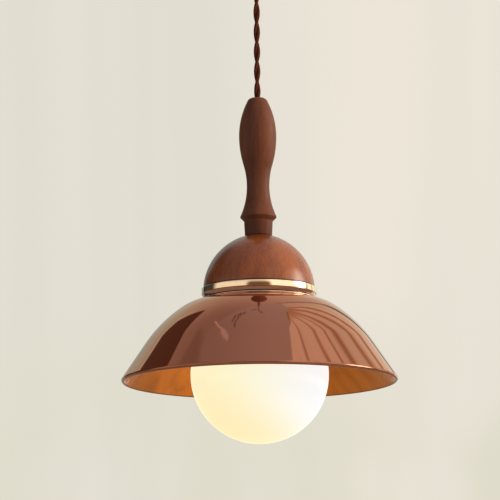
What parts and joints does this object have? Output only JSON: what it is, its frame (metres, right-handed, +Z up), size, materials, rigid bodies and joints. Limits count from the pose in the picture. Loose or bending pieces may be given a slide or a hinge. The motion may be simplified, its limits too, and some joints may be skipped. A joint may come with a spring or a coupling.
{
  "type": "pendant light",
  "caption": "Pendant light: twisted cord, turned wooden stem and dome, metal collar, wide glossy brown glass shade and an opal globe bulb.",
  "frame": {"origin": "on the ceiling, midway between the two ceiling slots and on the cord's axis", "axes": "+Z up into the ceiling, X along the two slots, Y across them"},
  "size_m": [0.25, 0.25, 0.461],
  "materials": {
    "walnut": "turned and oiled, satin",
    "gold": "polished",
    "smoked_glass": "glossy, blown",
    "opal_glass": "satin opal, lit",
    "cord_cover": "woven cover on two twisted cores",
    "steel": "zinc plated",
    "brass": "satin",
    "dark_plastic": "moulded, glossy",
    "ceramic": "glazed ceramic",
    "white_plastic": "moulded, matte",
    "core_cover": "insulated core",
    "felt": "pressed felt",
    "cap_metal": "plated, bright",
    "dark_glass": "fused insulator"
  },
  "bodies": {
    "ceiling_fitting": {"canopy": "walnut", "ceiling_bracket": "steel", "canopy_screws": "brass", "terminal_block": "white_plastic", "terminal_block_screws": "steel", "cord_gland": "gold", "gland_nut": "brass", "gland_screws": "brass", "ceiling_cord": "cord_cover", "ceiling_leads": "core_cover"},
    "cord": {"hanging_cord": "cord_cover"},
    "lamp": {"stem": "walnut", "dome": "walnut", "collar": "gold", "upper_gasket": "felt", "shade": "smoked_glass", "lower_gasket": "felt", "holder_skirt": "dark_plastic", "holder_cap": "dark_plastic", "holder_insert": "ceramic", "screw_shell": "brass", "plunger_spring": "steel", "holder_terminals": "brass", "terminal_screws": "steel", "cord_clamp": "dark_plastic", "clamp_screws": "steel", "nipple": "steel", "nipple_washer": "steel", "nipple_nut": "brass", "stem_cord": "cord_cover", "lamp_leads": "core_cover"},
    "shade_clamp": {"shade_ring": "dark_plastic"},
    "contact": {"centre_plunger": "brass"},
    "bulb": {"bulb_globe": "opal_glass", "bulb_neck": "white_plastic", "led_board": "white_plastic", "bulb_cap": "cap_metal", "bulb_insulator": "dark_glass", "bulb_tip": "brass"}
  },
  "joints": [
    {"name": "cord_swing", "type": "hinge", "parent": "ceiling_fitting", "child": "cord", "pos_m": [0, 0, -0.042], "axis": [0, 1, 0], "range_deg": [-20, 20]},
    {"name": "lamp_tilt", "type": "hinge", "parent": "cord", "child": "lamp", "pos_m": [0, 0, -0.142], "axis": [1, 0, 0], "range_deg": [-8, 8]},
    {"name": "ring_turn", "type": "hinge", "parent": "lamp", "child": "shade_clamp", "pos_m": [0, 0, -0.3367], "axis": [0, 0, -1], "range_deg": [0, 90]},
    {"name": "contact_slide", "type": "slide", "parent": "lamp", "child": "contact", "axis": [0, 0, -1], "range_m": [0, 0.00363], "deforming": ["plunger_spring"]},
    {"name": "bulb_turn", "type": "hinge", "parent": "contact", "child": "bulb", "pos_m": [0, 0, -0.3985], "axis": [0, 0, -1], "range_deg": [0, 360]}
  ],
  "couplings": [
    {"joint": "bulb_turn", "follows": "contact_slide", "rad_per_m": 1730.9}
  ]
}
